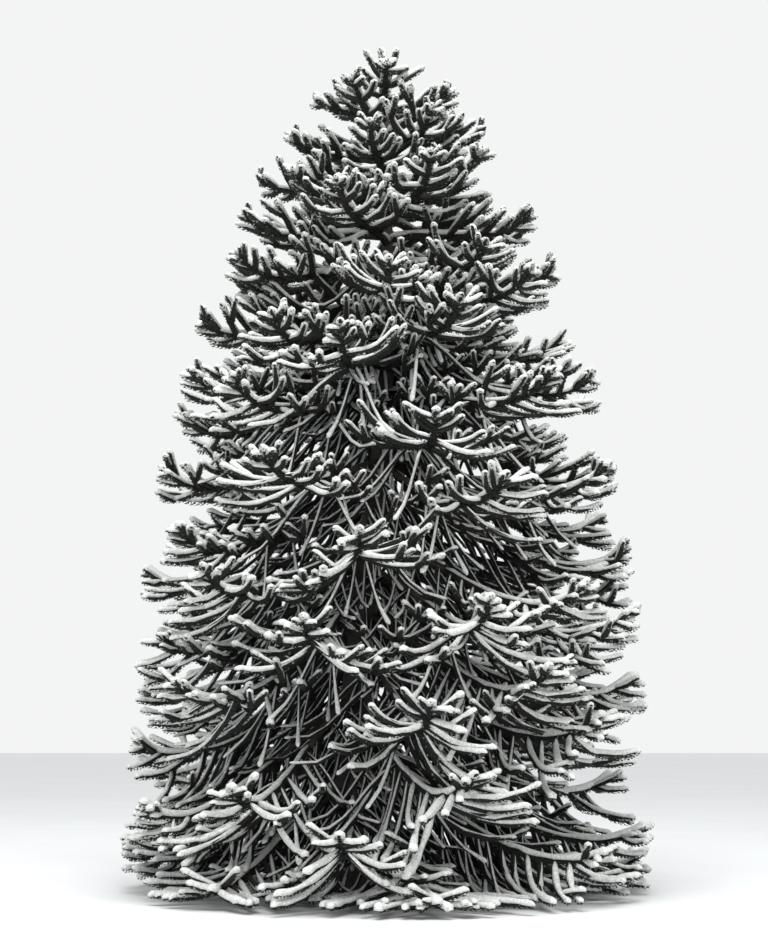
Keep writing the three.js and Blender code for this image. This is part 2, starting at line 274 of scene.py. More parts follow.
# %% [markdown]
# ## One shoot
#
# A side shoot grows in three strides, each with its own slope, and may turn a little sideways after each. The
# ends of the strides are the points of its curve. A shoot that would leave the crown is made shorter and
# tried again, because pulling only its tip back would fold it.

# %% Curve of a shoot
SIDE_STRIDES = (0.36, 0.34, 0.36)  # shares of the length
FIT_SHARE = 0.97  # of the crown's reach, within which a side shoot ends
FIT_TRIES = 7
FIT_SHORTENING = 0.88


def shoot_curve(start, azimuth, length, slopes, turn=0):
    """A curve in three strides, each turned and sloped anew, shortened until its tip is inside the crown."""
    for _ in range(FIT_TRIES):
        points = [start]
        for count, (stride, slope) in enumerate(zip(SIDE_STRIDES, slopes)):
            points.append(points[-1] + towards(azimuth + turn * count, slope) * stride * length)
        if np.hypot(points[-1][0] - LEAN_REACH, points[-1][1]) < FIT_SHARE * crown_reach(points[-1][2]):
            break
        length *= FIT_SHORTENING
    return np.array([start] + [keep_in_crown(point) for point in points[1:]])


sample = shoot_curve(trunk_axis(2.0), 0, 1.0, (-60, -30, 10))
print(f"a hanging shoot of 1 m ends {sample[0][2] - sample[3][2]:.2f} m below its start")

# %% [markdown]
# ## Forks
#
# High in the crown the long side shoots are forked like fingers, and low down they are seldom so. A fork is
# one more short shoot that starts part of the way along and points more steeply up. It is finer growth
# that the solid tree leaves out.

# %% Forks of a side shoot
FORK_LENGTH = 0.3
FORKS = ((0.66, 40, 0), (0.5, -30, 16))  # place on the shoot, degrees turned and raised
FORK_SLOPES = (5, 10, 10)  # degrees in each stride
FORK_LIFTS = (0, 0.5, 1)  # and shares of the side shoot's own lift that are added to them
LOW_FORK_BAR = 0.9  # a fork grows where its scatter is above the bar, which is lower the higher it stands
LEAST_FORK_BAR = 0.38


def forks(bough, curve, side, lift, number):
    """The forks on one side shoot of a bough, given by its side, its lift and its number."""
    for fork, (place, turned, raised) in enumerate(FORKS):
        chance = scatter(bough.counted + 300 + 50 * fork, number)
        if chance > max(LOW_FORK_BAR - bough.share, LEAST_FORK_BAR):
            azimuth = azimuth_at(curve, place) - side * turned
            slopes = np.array(FORK_SLOPES) + lift * np.array(FORK_LIFTS) + raised
            yield shoot_curve(along(curve, place)[0], azimuth, FORK_LENGTH, slopes)


print(f"up to {len(FORKS)} forks of {FORK_LENGTH} m on a side shoot")

# %% [markdown]
# ## Pairs of side shoots
#
# Side shoots leave a bough in pairs. They set out sideways, sag, and lift their tips: in the low crown they
# hang like a curtain. The further a pair stands from the bough's tip, the older it is, so it is longer and
# hangs deeper. This is the solid tree's rule, with pairs twice as close. Every other pair hangs lower and
# spreads wider than its neighbours, so that they don't lie in one another.

# %% Side shoots of a bough
FIRST_PAIR = 0.12  # metres from a bough's tip
PAIR_STEP = (0.15, 0.05, 1)
LEAFY_SHARES = (1.3, 0.62)  # of a young bough's length, low and high in the crown, that has pairs
SIDE_LENGTH = (1.5, -1.0, 1)
LEAST_SIDE = 0.32
SIDE_GROWTH = 0.5  # distance from the tip over which side shoots grow long
SAG_GROWTH = (0.3, 0.6, 1)  # and over which they come to hang
TIP_SAG = -10  # degrees
FULL_SAG = (76, -78, 0.9)
TIP_LIFT = (14, 34, 1)
FULL_LIFT = (-8, 58, 1)
SIDE_SPREAD = (62, 64)  # degrees from the bough's heading, at its tip and far from it
MIDDLE_SAG = 0.64  # shares of the sag and of the lift in a side shoot's middle stride
MIDDLE_LIFT = 0.2
SAG_TURNS = (12, -10)  # pairs by turns hang so much lower or higher than the rule
SPREAD_TURNS = (8, -10)  # and spread so much further or less
SIDE_TURN = 14  # from one stride to the next a side shoot turns so much towards the bough's tip
SLOPE_SCATTER = 12
ROLL_SCATTER = 15  # degrees that a bough leans to one side, where its shoots hang lower
LENGTH_SCATTER = 0.2
FORKING_LENGTH = 0.45  # the least of a shoot that forks


def side_shoots(bough, first):
    """Pairs of side shoots along a bough, from its tip inwards, each followed by its forks."""
    shares, walked = paces(bough.curve, first)
    roll = ROLL_SCATTER * scatter(bough.counted, 70)
    full_length = by_height(SIDE_LENGTH, bough.share)
    leafy = walked[-1] * (1 if bough.bare else lerp(*LEAFY_SHARES, bough.share))
    pair_step = by_height(PAIR_STEP, bough.share)
    for pair, to_tip in enumerate(np.arange(FIRST_PAIR, min(leafy, walked[-1]), pair_step)):
        at = np.interp(walked[-1] - to_tip, walked, shares)
        grown = 1 - math.exp(-to_tip / SIDE_GROWTH)
        sunk = 1 - math.exp(-to_tip / by_height(SAG_GROWTH, bough.share))
        sag = lerp(TIP_SAG, by_height(FULL_SAG, bough.share), sunk) + SAG_TURNS[pair % 2] * sunk
        lift = lerp(by_height(TIP_LIFT, bough.share), by_height(FULL_LIFT, bough.share), sunk)
        spread = lerp(*SIDE_SPREAD, sunk) + SPREAD_TURNS[pair % 2] * sunk
        for side in (-1, 1):
            number = 2 * pair + side
            vary = scatter(bough.counted + 200, number)
            length = max(full_length * grown, LEAST_SIDE) * (1 + LENGTH_SCATTER * vary)
            sloped = SLOPE_SCATTER * scatter(number, bough.counted + 900) + side * roll
            slopes = np.array([-sag, MIDDLE_LIFT * lift - MIDDLE_SAG * sag, lift]) + sloped
            azimuth = azimuth_at(bough.curve, at) + side * (spread + SLOPE_SCATTER * vary)
            curve = shoot_curve(along(bough.curve, at)[0], azimuth, length, slopes, -side * SIDE_TURN)
            yield curve
            if length > FORKING_LENGTH:
                yield from forks(bough, curve, side, lift, number)


for bough in (boughs[0], boughs[-1]):
    grown = [*side_shoots(bough, BARE_SHARE if bough.bare else 0.0)]
    print(f"{len(grown)} side shoots and forks on bough {bough.counted + 1}")

# %% [markdown]
# ## Fingers and whips
#
# Two fingers stand beside each bough's tip, as in the solid tree. From the seventh whorl down, thin whips
# hang from the inner part of the boughs and fill the crown from within. The solid tree has none of them,
# because they hang behind the other shoots and don't change its outline.

# %% Fingers and whips of a bough
FINGERS_AT = 0.9
FINGER_LENGTH = 0.36
FINGER_SPREAD = 50
FINGER_SLOPES = (24, 44, 62)
FINGER_LIFT = (0.35, 0.75, 1)  # times those slopes
WHIP_WHORL = 7  # the first with whips
WHIP_GAIN = 4  # how many more a bough has than one of the whorl above, up to WHIPS
WHIPS = 14
WHIPS_AT = (0.02, 0.56)  # shares of the bough's length between which they hang
WHIP_CROWDING = 1.4  # above 1, they crowd towards the trunk
WHIP_SPREAD = 45
WHIP_SPREAD_SCATTER = 30
WHIP_SLOPES = (-40, -80, -18)
WHIP_SLOPE_SCATTERS = (24, 0, 30)
WHIP_LENGTH = 1.25
WHIP_LENGTH_SCATTER = 0.35


def fingers(bough):
    for side in (-1, 1):
        vary = scatter(bough.counted, side + 7)
        slopes = np.array(FINGER_SLOPES) * by_height(FINGER_LIFT, bough.share) + SLOPE_SCATTER * vary
        azimuth = azimuth_at(bough.curve, FINGERS_AT) + side * FINGER_SPREAD
        start = along(bough.curve, FINGERS_AT)[0]
        yield shoot_curve(start, azimuth, FINGER_LENGTH * (1 + LENGTH_SCATTER * vary), slopes)


def whips(bough):
    for count in range(min(WHIPS, WHIP_GAIN * (bough.whorl - WHIP_WHORL + 1))):
        vary = scatter(bough.counted + 500, count)
        at = lerp(*WHIPS_AT, ((count + 0.5) / WHIPS) ** WHIP_CROWDING)
        side = -1 if count % 2 else 1
        azimuth = azimuth_at(bough.curve, at) + side * (WHIP_SPREAD + WHIP_SPREAD_SCATTER * vary)
        slopes = np.array(WHIP_SLOPES) + vary * np.array(WHIP_SLOPE_SCATTERS)
        length = WHIP_LENGTH + WHIP_LENGTH_SCATTER * vary
        yield shoot_curve(along(bough.curve, at)[0], azimuth, length, slopes)


print(f"{sum(len([*whips(bough)]) for bough in boughs)} whips in all")

# %% [markdown]
# ## Growing them all
#
# A shoot is kept as its curve, the share of it at which leaves begin, its width, and the bough and whorl
# that it belongs to. All shoots are listed before any mesh is made, so that each cell below can be tried
# on one of them.

# %% List the shoots
AXIS_WIDTH = 0.045  # from a shoot's middle to its leaf tips
SHOOT_WIDTH = 0.038
WHIP_WIDTH = 0.024

Shoot = namedtuple("Shoot", "curve first width spray whorl")

shoots = []
for bough in boughs:
    first = BARE_SHARE if bough.bare else 0.0
    shoots.append(Shoot(bough.curve, first, AXIS_WIDTH, bough.counted, bough.whorl))
    for curve in (*side_shoots(bough, first), *fingers(bough)):
        shoots.append(Shoot(curve, 0.0, SHOOT_WIDTH, bough.counted, bough.whorl))
    for curve in whips(bough):
        shoots.append(Shoot(curve, 0.0, WHIP_WIDTH, bough.counted, bough.whorl))
length = sum(paces(shoot.curve, shoot.first)[1][-1] for shoot in shoots)
print(f"{len(shoots)} shoots on the boughs, {length:.0f} m of them")

# %% [markdown]
# ## The leader
#
# The trunk ends in a leader, the shoot that will be next year's trunk, with the youngest whorl of arms
# round it, as in the solid tuft at the top. The uppermost trunk is still green, so it is one more shoot
# here, thick and clothed with leaves.

# %% Grow the leader
TRUNK_TOP = 8.9
LEADER_STRIDES = (0.4, 0.7)  # shares of the leader's height at which its curve's middle points stand
LEADER_ARMS = 5
LEADER_ARMS_AT = (0.24, 0.32)  # shares of the leader's length, first arm and last
LEADER_ARM_LENGTH = 0.64
LEADER_ARM_SLOPES = (30, 38, 52)
LEAFY_TRUNK_FOOT = 6.6
LEAFY_TRUNK_WIDTH = 0.066


def leader_shoots():
    foot = trunk_axis(TRUNK_TOP)
    tip = trunk_axis(LEADER_TIP[1]) + (LEADER_TIP[0], 0, 0)
    upright = np.array([foot[0], foot[1], lerp(foot[2], tip[2], LEADER_STRIDES[0])])
    leader = np.array([foot, upright, lerp(foot, tip, LEADER_STRIDES[1]), tip])
    yield leader
    for arm in range(LEADER_ARMS):
        around = arm / LEADER_ARMS
        vary = scatter(arm, 5)
        slopes = np.array(LEADER_ARM_SLOPES) + SLOPE_SCATTER * vary
        start = along(leader, lerp(*LEADER_ARMS_AT, around))[0]
        yield shoot_curve(start, 360 * around, LEADER_ARM_LENGTH * (1 + LENGTH_SCATTER * vary), slopes)


for count, curve in enumerate(leader_shoots()):
    shoots.append(Shoot(curve, 0.0, AXIS_WIDTH if count == 0 else SHOOT_WIDTH, len(boughs), 0))
leafy_trunk = np.array([trunk_axis(height) for height in np.linspace(LEAFY_TRUNK_FOOT, TRUNK_TOP, 4)])
shoots.append(Shoot(leafy_trunk, 0.0, LEAFY_TRUNK_WIDTH, len(boughs), 0))
print(f"{LEADER_ARMS} arms round the leader, {len(shoots)} shoots in all")

# %% [markdown]
# ## Stations along a shoot
#
# Leaves, snow and the woody core are all placed at even steps along a shoot, so one function serves all
# three. At each step the shoot has a sky side, the side that snow settles on: its upper side, turned
# outwards where the shoot hangs. `level` says how much of the shoot faces the sky there, from 0 where it is
# upright to 1. `open` says how freely snow falls on it: 1 on the crown's outside and in its airy top, 0 deep
# inside the low crown.

# %% Stations and sky side
OUTWARD_SNOW = 0.5  # how far the sky side of a hanging shoot turns outwards
LEVEL_HANG = 0.4  # how much a level shoot counts as a hanging one, from 0 to 1
HANG_SPAN = 0.5  # change in a shoot's rise from fully hanging to not at all
SHELTERED_WITHIN = 0.45  # share of the crown's reach
OPEN_FROM = 0.87
AIRY_HEIGHTS = (3.5, 7)  # metres between which the crown's inside grows as open as its outside
TIP_RINGS = (0.05, 0.02)  # metres from a rounded tip to the last two full rings
LEAST_OUT = 0.05  # metres from the crown's middle, within which nothing counts as outwards

Stations = namedtuple("Stations", "points ahead sky beside level to_tip open")


def stations_along(shoot, spacing, rounded_tip=False):
    shares, walked = paces(shoot.curve, shoot.first)
    count = max(3, int(round(walked[-1] / spacing)) + 1)
    at = np.linspace(0, walked[-1], count)
    if rounded_tip:
        even = np.linspace(0, walked[-1] - TIP_RINGS[0], count)
        at = np.concatenate([even, walked[-1] - (TIP_RINGS[1], 0.0)])
    share = np.interp(at, walked, shares)
    points, ahead = along(shoot.curve, share), ahead_of(shoot.curve, share)
    outward = points - (LEAN_REACH, 0, 0)
    outward[:, 2] = 0
    reach = np.linalg.norm(outward, axis=1)
    outward /= np.maximum(reach, LEAST_OUT)[:, None]
    turned = OUTWARD_SNOW * np.clip(LEVEL_HANG - ahead[:, 2:] / HANG_SPAN, 0, 1)
    wanted = outward * turned + (0, 0, 1)
    sky = wanted - ahead * np.sum(wanted * ahead, axis=1, keepdims=True)
    length = np.linalg.norm(sky, axis=1, keepdims=True)
    sky /= np.maximum(length, 1e-6)
    level = length[:, 0] / np.hypot(1, turned[:, 0])
    outside = np.interp(reach / crown_reach(points[:, 2]), (SHELTERED_WITHIN, OPEN_FROM), (0, 1))
    open_to_sky = lerp(outside, 1, np.interp(points[:, 2], AIRY_HEIGHTS, (0, 1)))
    return Stations(points, ahead, sky, np.cross(ahead, sky), level, walked[-1] - at, open_to_sky)


lowest = next(shoot for shoot in shoots if shoot.spray == boughs[-1].counted)
sample = stations_along(lowest, 0.4)
print("along the lowest bough: level", sample.level.round(2), "and open", sample.open.round(2))

# %% [markdown]
# ## Width of a shoot
#
# Each kind of shoot has its width. On the real tree the vigorous shoots high up are stouter than the hanging
# ones of the same kind, so the width also depends on the whorl.

# %% Width of a shoot
STOUT = (1.18, 1.0)  # times the width set for its kind, at the top and from a whorl downwards
STOUT_WHORL = 14


def width_of(shoot):
    """From the middle of a shoot to its leaf tips."""
    return shoot.width * np.interp(shoot.whorl, (0, STOUT_WHORL), STOUT)


print("millimetres from middle to leaf tips:", sorted({round(1000 * width_of(shoot)) for shoot in shoots}))

# %% [markdown]
# ## Where the snow ends
#
# Snow covers a level shoot nearly down to its sides, clings to a rising one, and leaves only a narrow strip
# on one that hangs. Round the tip it closes into a knob. Leaves and snow both need that edge, so it has a
# function of its own.

# %% Edge of the snow
STEEP_EDGE = (2, 60)  # degrees round from the sky side, on a hanging shoot and on a rising one
RISING = 0.3  # rise to its length at which a shoot counts as fully rising
LEVEL_EDGE = 77
TIP_EDGE = (100, 135)  # on the tip of a level shoot and of a rising one
TIP_RISING = 0.8
KNOB = 0.055  # metres over which the knob at a tip fades
SHELTERED_EDGE = 0.42  # share of the edge that is left where the crown is not open


def snow_edge(at):
    """How far round from the sky side the snow reaches, in radians."""
    steep = lerp(*STEEP_EDGE, np.clip(at.ahead[:, 2] / RISING, 0, 1))
    edge = lerp(steep, LEVEL_EDGE, at.level) * lerp(SHELTERED_EDGE, 1, at.open)
    tip_edge = lerp(*TIP_EDGE, np.clip(at.ahead[:, 2] / TIP_RISING, 0, 1))
    return np.radians(lerp(edge, tip_edge, np.exp(-at.to_tip / KNOB)))


sample = stations_along(shoots[0], 0.3)
print("degrees of snow each side, along the first bough:", np.degrees(snow_edge(sample)).round())

# %% [markdown]
# ## Where the leaves stand
#
# The leaves climb a shoot in a spiral, each 137.5 degrees round from the last, which is how the real ones
# stand. Fewer are grown deep in the crown, where they are hardly seen, and a leaf that thick snow would
# bury is left out: that keeps the mesh small where it makes no difference.

# %% Spiral of leaves
LEAF_SPACING = 0.0053  # on the outside of the crown
WHIP_LEAF_SPACING = 0.0106
LEAVES_WITHIN = 0.3  # share of them that is left deep inside it
LEAF_TURN = math.radians(137.508)
SPIRAL_START = (0, 6.283)  # radians
UNDER_SNOW = 0.35  # radians that leaves go on under the snow


def leaf_spiral(shoot, draw):
    """Stations of the leaves of a shoot, and each leaf's angle round from the sky side."""
    at = stations_along(shoot, WHIP_LEAF_SPACING if shoot.width == WHIP_WIDTH else LEAF_SPACING)
    grown = np.cumsum(lerp(LEAVES_WITHIN, 1, at.open)).astype(int)
    at = Stations(*(value[np.diff(grown, prepend=0) > 0] for value in at))
    turn = np.arange(len(at.points)) * LEAF_TURN + draw.uniform(*SPIRAL_START)
    angle = (turn + math.pi) % (2 * math.pi) - math.pi
    keep = np.abs(angle) > snow_edge(at) - UNDER_SNOW
    return Stations(*(value[keep] for value in at)), angle[keep][:, None]


sample, _ = leaf_spiral(shoots[0], np.random.default_rng(0))
print(len(sample.points), "leaves on the first bough")

# %% [markdown]
# ## Scale leaves
#
# A scale leaf is a stiff, sharp triangle that stands out of its shoot and points towards the tip. Real ones
# are 3 to 4 cm long, and most of these are 2 to 4 cm. Each is a blade of two faces, folded along its middle:
# enough for a sharp outline, and few enough for a whole tree. Near the snow up to a third or so of them are
# frosted, and more at the tips.

# %% Leaves of one shoot
CORE_SHARE = 0.7  # a shoot's core against its width
LEAF_ROOT = 0.9  # share of the core's width at which a leaf starts
LEAF_ANGLE = 27
TIP_LEAF_ANGLE = 12
LEAF_ANGLE_SCATTER = 4
LEAF_LENGTHS = (0.9, 1.4)  # against the length that just reaches the shoot's width
LEAF_WIDEST = 0.34  # how far along a leaf that is
LEAF_HALF_WIDTH = 0.44  # share of its length
LEAF_FOLD = 0.002
TIP_ZONE = 0.05  # metres in which leaves are shorter and lie closer
TIP_CORE = 0.7  # shares of the core's width and of a leaf's length that are left at the tip
TIP_LEAF = 0.6
FROSTED_FROM = (2.4, 1.7)  # radians from the sky side within which leaves may be frosted, by level
FROSTED_SHARE = (0.36, 0.22)
FROSTED_ELSEWHERE = 0.03
FROSTED_TIP = 0.35  # share more in the last stretch
FROSTED_STRETCH = 0.15


def leaves_of(shoot, seed):
    """Corners (count, 4, 3) of the leaves of a shoot, and which of them are frosted."""
    draw = np.random.default_rng(seed)
    at, angle = leaf_spiral(shoot, draw)
    out = np.cos(angle) * at.sky + np.sin(angle) * at.beside
    across = -np.sin(angle) * at.sky + np.cos(angle) * at.beside
    near_tip = np.clip(at.to_tip / TIP_ZONE, 0, 1)[:, None]
    leans = lerp(TIP_LEAF_ANGLE, LEAF_ANGLE, near_tip) + draw.normal(0, LEAF_ANGLE_SCATTER, (len(out), 1))
    lean = np.radians(leans)
    core = width_of(shoot) * CORE_SHARE * lerp(TIP_CORE, 1, near_tip)
    leaf_length = width_of(shoot) * (1 - CORE_SHARE) / math.sin(math.radians(LEAF_ANGLE))
    reach = leaf_length * draw.uniform(*LEAF_LENGTHS, (len(out), 1)) * lerp(TIP_LEAF, 1, near_tip)
    base = at.points + out * core * LEAF_ROOT
    blade = at.ahead * np.cos(lean) + out * np.sin(lean)
    tip = base + blade * reach
    widest = base + blade * reach * LEAF_WIDEST + out * LEAF_FOLD
    half = across * reach * LEAF_HALF_WIDTH
    near_snow = np.abs(angle[:, 0]) < lerp(*FROSTED_FROM, at.level)
    chance = np.where(near_snow, lerp(*FROSTED_SHARE, at.level), FROSTED_ELSEWHERE) * at.open
    frosted = draw.random(len(out)) < chance + FROSTED_TIP * (at.to_tip < FROSTED_STRETCH)
    return np.stack([base, widest + half, tip, widest - half], axis=1), frosted


corners, frosted = leaves_of(shoots[0], 0)
longest = np.linalg.norm(corners[:, 2] - corners[:, 0], axis=1).max()
print(f"leaves up to {longest * 1000:.0f} mm long, {frosted.mean():.0%} of them frosted on the first bough")

# %% [markdown]
# ## Snow on a shoot
#
# Snow lies on a shoot as a long rounded cap: thick where the shoot is level, thin where it is steep, and
# with a blunt knob at the tip. Each cap is a closed tube whose rings have five corners, four steps round
# the outside and one straight across beneath. It rests among the leaves, so their tips break its edge.

# %% Snow of one shoot
SNOW_SPACING = 0.11
WHIP_SNOW_SPACING = 0.22
SNOW_DEPTH = (0.0, 0.014)  # over the leaf tips, on an upright shoot and on a level one
BOUGH_SNOW_DEPTH = (0.0, 0.032)
SNOW_SECTION = (-1, -0.5, 0, 0.5, 1)  # shares of the way from the sky side to the edge
SNOW_THINS = 0.28  # how much nearer the shoot the snow lies at its edge
SHELTERED_SNOW = 0.75
EDGE_SCATTER = 0.12
LUMP_BLEND = (0.3, 0.5, 0.3)  # of each ring's lump with its neighbours'
LUMP = 0.003
LUMP_SHARE = 0.3  # of the depth, on top of that
KNOB_SWELL = 0.06
ROOT_TAPER = 0.6  # width of the first ring against the others
TIP_TAPER = (0.95, 0.45)  # and of the last two
TIP_BULGE = 0.012  # metres that the cap stands out past the shoot's tip


def snow_of(shoot, seed):
    """Rings (count, 5, 3) of the cap of snow on a shoot."""
    draw = np.random.default_rng(seed)
    spacing = WHIP_SNOW_SPACING if shoot.width == WHIP_WIDTH else SNOW_SPACING
    at = stations_along(shoot, spacing, rounded_tip=True)
    count = len(at.points)
    lumps = np.convolve(draw.normal(0, 1, count + 2), LUMP_BLEND, "valid")
    depth = lerp(*(BOUGH_SNOW_DEPTH if shoot.width == AXIS_WIDTH else SNOW_DEPTH), at.level ** 2)
    radius = width_of(shoot) + depth + (LUMP + LUMP_SHARE * depth) * lumps
    radius *= lerp(SHELTERED_SNOW, 1, at.open) * (1 + KNOB_SWELL * np.exp(-at.to_tip / KNOB))
    radius[0] *= ROOT_TAPER
    radius[-2:] *= TIP_TAPER
    edge = snow_edge(at) * (1 + EDGE_SCATTER * draw.normal(0, 1, count).clip(-2, 2))
    rings = []
    for share in SNOW_SECTION:
        angle = (edge * share)[:, None]
        out = np.cos(angle) * at.sky + np.sin(angle) * at.beside
        rings.append(at.points + out * (radius * (1 - SNOW_THINS * share * share))[:, None])
    rings = np.stack(rings, axis=1)
    rings[-1] += at.ahead[-1] * TIP_BULGE
    return rings


rings = snow_of(shoots[0], 0)
widest = np.linalg.norm(rings[:, 0] - rings[:, -1], axis=1).max()
print(f"{len(rings)} rings of snow on the first bough, up to {widest * 1000:.0f} mm across")

# %% [markdown]
# ## Woody cores
#
# Behind its leaves a shoot has a core, green when it is young. It only shows in the gaps between the leaves,
# so four sides are enough. Without it one would see through a shoot to the sky.

# %% Core of one shoot
CORE_SPACING = 0.28
CORE_SWELL = 1.25  # the core's width against the circle that leaves start from
CORE_SIDES = 4
CORE_TIP = 0.5  # share of the core's width that is left at the tip
CORE_TAPER = 0.1  # metres over which it would gain a whole width


def core_of(shoot):
    at = stations_along(shoot, CORE_SPACING)
    radius = width_of(shoot) * CORE_SHARE * CORE_SWELL * np.clip(CORE_TIP + at.to_tip / CORE_TAPER, 0, 1)
    rings = []
    for side in range(CORE_SIDES):
        angle = math.radians((side + 0.5) * 360 / CORE_SIDES)
        out = math.cos(angle) * at.sky + math.sin(angle) * at.beside
        rings.append(at.points + out * radius[:, None])
    return np.stack(rings, axis=1)


print(len(core_of(shoots[0])), "rings in the core of the first bough")

# %% [markdown]
# ## Faces of tubes
#
# Trunk, boughs, cores and snow are all rows of rings. A strip of triangles joins each ring to the next, and
# a fan closes each end, so every tube is watertight. The faces of all tubes of a piece are found at once,
# from the number of rings in each.

# %% Faces of tubes


def tube_faces(ring_counts, sides):
    """Triangles of closed tubes whose rings follow one another in a list of corners."""
    side = np.arange(sides)
    after = (side + 1) % sides
    strip = np.concatenate([
        np.stack([side, after, after + sides], axis=1),
        np.stack([side, after + sides, side + sides], axis=1),
    ])
    fan = np.array([(0, corner, corner + 1) for corner in range(1, sides - 1)])
    faces = []
    first = 0
    for count in ring_counts:
        rows = np.arange(count - 1)[:, None, None] * sides
        faces.append((first + rows + strip).reshape(-1, 3))
        faces.append(first + fan[:, ::-1])
        faces.append(first + (count - 1) * sides + fan)
        first += count * sides
    return np.concatenate(faces)


print(len(tube_faces([2], 4)), "triangles in a box")

# %% [markdown]
# ## From arrays to meshes
#
# Blender can take a whole mesh as arrays in one go, which is far faster than adding faces one by one. Each
# mesh becomes an object that rides on the tree's one body, the root, and every face gets its material.

# %% Make a piece


def make_piece(name, corners, faces, materials, dealt=None, smooth=False):
    """A mesh object from arrays of corners and triangles, with a material dealt to each triangle."""
    corners = np.asarray(corners, np.float32).reshape(-1, 3)
    faces = np.asarray(faces, np.int32)
    mesh = bpy.data.meshes.new(name)
    mesh.vertices.add(len(corners))
    mesh.vertices.foreach_set("co", corners.ravel())
    mesh.loops.add(faces.size)
    mesh.loops.foreach_set("vertex_index", faces.ravel())
    mesh.polygons.add(len(faces))
    mesh.polygons.foreach_set("loop_start", np.arange(0, faces.size, 3, dtype=np.int32))
    for material in materials:
        mesh.materials.append(material)
    if dealt is not None:
        mesh.polygons.foreach_set("material_index", np.asarray(dealt, np.int32))
    mesh.polygons.foreach_set("use_smooth", np.full(len(faces), smooth))
    mesh.update(calc_edges=True)
    piece = bpy.data.objects.new(name, mesh)
    bpy.context.collection.objects.link(piece)
    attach(piece, "root")
    print(f"{name}: {len(faces)} triangles")
    return piece


# %% [markdown]
# ## A mottled finish
#
# Nothing on a tree has one flat colour. Each finish is a small node tree in which noise varies the colour
# between two, in patches, and a second noise roughens the surface. An image could do that too, but noise
# has no seams. It is read from the object's own coordinates, so it stays put whatever the view.

# %% Recipe for a finish
PATCH_DETAIL = 6
PATCH_ROUGHNESS = 0.75
PATCH_EDGES = (0.35, 0.65)  # values of the noise that are all dark and all light
RELIEF_DEPTH = 0.01


def mottled(name, dark, light, scale, roughness, bump, bump_scale):
    """A finish that varies between two colours, with a fine uneven surface."""
    material = bpy.data.materials.new(name)
    material.use_nodes = True
    nodes, links = material.node_tree.nodes, material.node_tree.links
    shader = nodes["Principled BSDF"]
    shader.inputs["Roughness"].default_value = roughness
    place = nodes.new("ShaderNodeTexCoord")
    patches = nodes.new("ShaderNodeTexNoise")
    patches.inputs["Scale"].default_value = scale
    patches.inputs["Detail"].default_value = PATCH_DETAIL
    patches.inputs["Roughness"].default_value = PATCH_ROUGHNESS
    ramp = nodes.new("ShaderNodeValToRGB")
    for stop, position, colour in zip(ramp.color_ramp.elements, PATCH_EDGES, (dark, light)):
        stop.position = position
        stop.color = (*colour, 1)
    grain = nodes.new("ShaderNodeTexNoise")
    grain.inputs["Scale"].default_value = bump_scale
    relief = nodes.new("ShaderNodeBump")
    relief.inputs["Strength"].default_value = bump
    relief.inputs["Distance"].default_value = RELIEF_DEPTH
    links.new(place.outputs["Object"], patches.inputs["Vector"])
    links.new(place.outputs["Object"], grain.inputs["Vector"])
    links.new(patches.outputs["Fac"], ramp.inputs["Fac"])
    links.new(ramp.outputs["Color"], shader.inputs["Base Color"])
    links.new(grain.outputs["Fac"], relief.inputs["Height"])
    links.new(relief.outputs["Normal"], shader.inputs["Normal"])
    return material


# %% [markdown]
# ## Finishes
#
# The whole tree is nearly black and white: dark green leaves, purplish grey bark and grey-white snow. Three
# greens keep the sprays apart, and frosted leaves lie between green and white. High in the crown the snow
# is a thin crust that leaf tips show through, so it has a greyer finish there.

# %% Make the finishes
LEAF_GREENS = [
    mottled("deep_green_leaf", (0.005, 0.008, 0.004), (0.013, 0.019, 0.009), 9, 0.6, 0.2, 90),
    mottled("blue_green_leaf", (0.005, 0.009, 0.006), (0.012, 0.019, 0.013), 9, 0.6, 0.2, 90),
    mottled("brown_green_leaf", (0.008, 0.009, 0.004), (0.017, 0.019, 0.01), 9, 0.65, 0.2, 90),
]
frosted_leaf = mottled("frosted_leaf", (0.12, 0.135, 0.12), (0.36, 0.38, 0.35), 14, 0.8, 0.3, 120)
green_core = mottled("green_core", (0.005, 0.006, 0.004), (0.010, 0.012, 0.009), 12, 0.8, 0.4, 60)
thin_snow = mottled("thin_snow", (0.36, 0.375, 0.36), (0.87, 0.88, 0.86), 60, 0.9, 1, 140)
thick_snow = mottled("thick_snow", (0.54, 0.555, 0.54), (0.96, 0.97, 0.945), 38, 0.9, 1, 110)
trunk_bark = mottled("trunk_bark", (0.035, 0.031, 0.03), (0.09, 0.08, 0.076), 7, 0.9, 0.8, 40)
bough_bark = mottled("bough_bark", (0.03, 0.027, 0.024), (0.075, 0.068, 0.06), 10, 0.9, 0.8, 50)
FINISHES = [*LEAF_GREENS, frosted_leaf, green_core, thin_snow, thick_snow, trunk_bark, bough_bark]
print(f"{len(FINISHES)} finishes:", ", ".join(finish.name for finish in FINISHES))

# %% [markdown]
# ## Trunk
#
# The trunk tapers, leans to the right and flares at its foot. Old whorls leave rings in the bark, and
# plates crack open between them. A bump in the finish alone would leave its outline smooth, so the trunk is
# a closed tube of many sides whose radius carries that relief. The relief fades at the cut, which stays
# as plain as the solid's.

# %% Build the trunk
TRUNK_SIDES = 40
TRUNK_RINGS = 160
TRUNK_FOOT_RADIUS = 0.215
TRUNK_TIP_RADIUS = 0.04
TRUNK_TAPER = 1.3
FLARE_WIDTH = 0.095
FLARE_HEIGHT = 0.17
ROOT_RIDGES = 5
RIDGE_SHARE = 0.16
BARK_DEPTH = 0.007
BARK_RINGS = 0.35  # shares of the depth, for rings and for plates
BARK_PLATES = 0.4
RELIEF_FADE = 0.1


